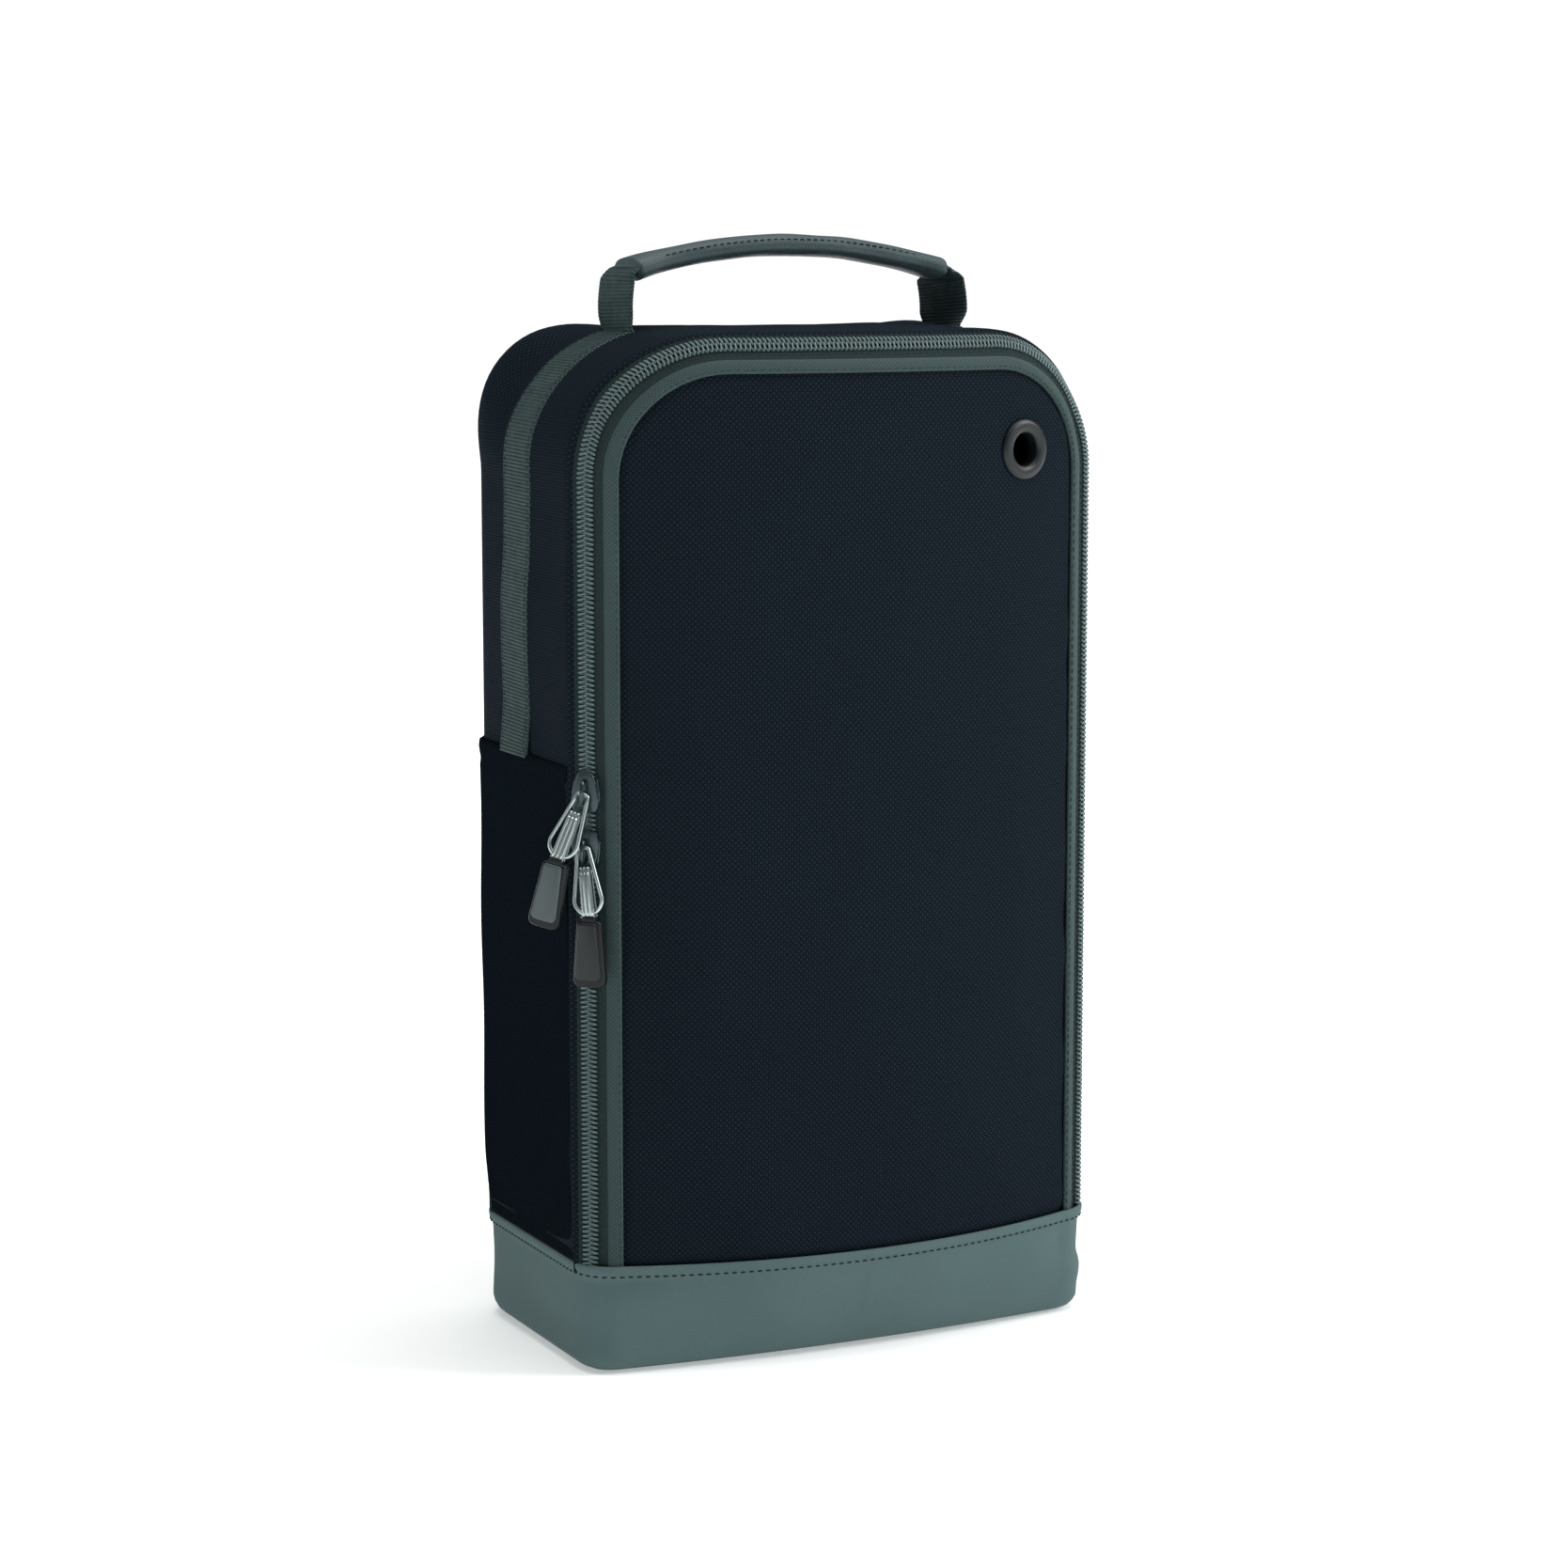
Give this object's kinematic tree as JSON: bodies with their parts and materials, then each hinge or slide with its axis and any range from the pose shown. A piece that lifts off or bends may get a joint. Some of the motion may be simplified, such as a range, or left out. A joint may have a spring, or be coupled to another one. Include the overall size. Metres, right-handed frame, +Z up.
{
  "type": "golf shoe bag",
  "caption": "Upright zipped shoe bag with a rounded top, side pocket, grey base band and piping, webbing carry handle and ventilation eyelet.",
  "frame": {"origin": "on the floor under the middle of the bag, on the bottom panel's underside", "axes": "+X to the bag's right as seen from the front, -Y out of the front panel, +Z up"},
  "size_m": [0.2268, 0.1295, 0.405],
  "materials": {
    "black_polyester": "fine 600-denier plain weave",
    "grey_polyester": "fine plain weave",
    "black_binding": "woven seam tape",
    "lining": "coated plain weave",
    "board": "matt sheet",
    "grey_webbing": "ribbed webbing",
    "grip_fabric": "plain weave, folded and sewn",
    "zip_tape": "herringbone zip tape",
    "zip_coil": "nylon coil",
    "eyelet_enamel": "black enamel",
    "slider_metal": "dark gunmetal",
    "ring_chrome": "bright wire",
    "grip_plastic": "moulded, satin"
  },
  "bodies": {
    "bag_body": {"back_panel": "black_polyester", "gusset": "black_polyester", "base_band": "grey_polyester", "bottom_panel": "black_polyester", "base_board": "board", "base_seam_tape": "black_binding", "back_seam_tape": "black_binding", "inner_divider": "lining", "side_pocket": "black_polyester", "pocket_hem": "black_polyester", "strap_left": "grey_webbing", "strap_right": "grey_webbing", "zip_tape_rear": "zip_tape", "zip_coil_rear": "zip_coil"},
    "front_flap": {"front_panel": "black_polyester", "front_binding": "grey_polyester", "zip_tape_front": "zip_tape", "zip_coil_front": "zip_coil", "eyelet": "eyelet_enamel", "eyelet_washer": "eyelet_enamel"},
    "upper_slider": {"upper_slider_body": "slider_metal", "upper_slider_bridge": "slider_metal"},
    "upper_pull": {"upper_pull_ring": "ring_chrome", "upper_pull_strap": "ring_chrome", "upper_pull_grip": "grip_plastic"},
    "lower_slider": {"lower_slider_body": "slider_metal", "lower_slider_bridge": "slider_metal"},
    "lower_pull": {"lower_pull_ring": "ring_chrome", "lower_pull_strap": "ring_chrome", "lower_pull_grip": "grip_plastic"},
    "handle_left": {"handle_riser_left": "grey_webbing"},
    "handle_right": {"handle_riser_right": "grey_webbing"},
    "handle_grip": {"handle_core": "grey_webbing", "handle_sleeve": "grip_fabric"}
  },
  "joints": [
    {"name": "front_flap_hinge", "type": "hinge", "parent": "bag_body", "child": "front_flap", "pos_m": [0, -0.0655, 0.0402], "axis": [1, 0, 0], "range_deg": [0, 95]},
    {"name": "upper_slider_travel", "type": "slide", "parent": "bag_body", "child": "upper_slider", "axis": [0, 0, 1], "range_m": [0, 0.094]},
    {"name": "upper_pull_swing", "type": "hinge", "parent": "upper_slider", "child": "upper_pull", "pos_m": [-0.10335, -0.04358, 0.2105], "axis": [-0.7071, 0.7071, 0], "range_deg": [0, 120]},
    {"name": "lower_slider_travel", "type": "slide", "parent": "bag_body", "child": "lower_slider", "axis": [0, 0, -1], "range_m": [0, 0.136]},
    {"name": "lower_pull_swing", "type": "hinge", "parent": "lower_slider", "child": "lower_pull", "pos_m": [-0.10335, -0.04358, 0.1915], "axis": [-0.7071, 0.7071, 0], "range_deg": [0, 30]},
    {"name": "handle_sway", "type": "hinge", "parent": "bag_body", "child": "handle_left", "pos_m": [-0.066, 0.0085, 0.3712], "axis": [0, 1, 0], "range_deg": [-65, 65]},
    {"name": "handle_right_sway", "type": "hinge", "parent": "bag_body", "child": "handle_right", "pos_m": [0.066, 0.0085, 0.3712], "axis": [0, 1, 0], "range_deg": [-65, 65]},
    {"name": "handle_grip_level", "type": "hinge", "parent": "handle_left", "child": "handle_grip", "pos_m": [-0.066, 0.0085, 0.389], "axis": [0, 1, 0], "range_deg": [-65, 65]}
  ],
  "couplings": [
    {"joint": "handle_right_sway", "follows": "handle_sway", "ratio": 1},
    {"joint": "handle_grip_level", "follows": "handle_sway", "ratio": -1}
  ]
}
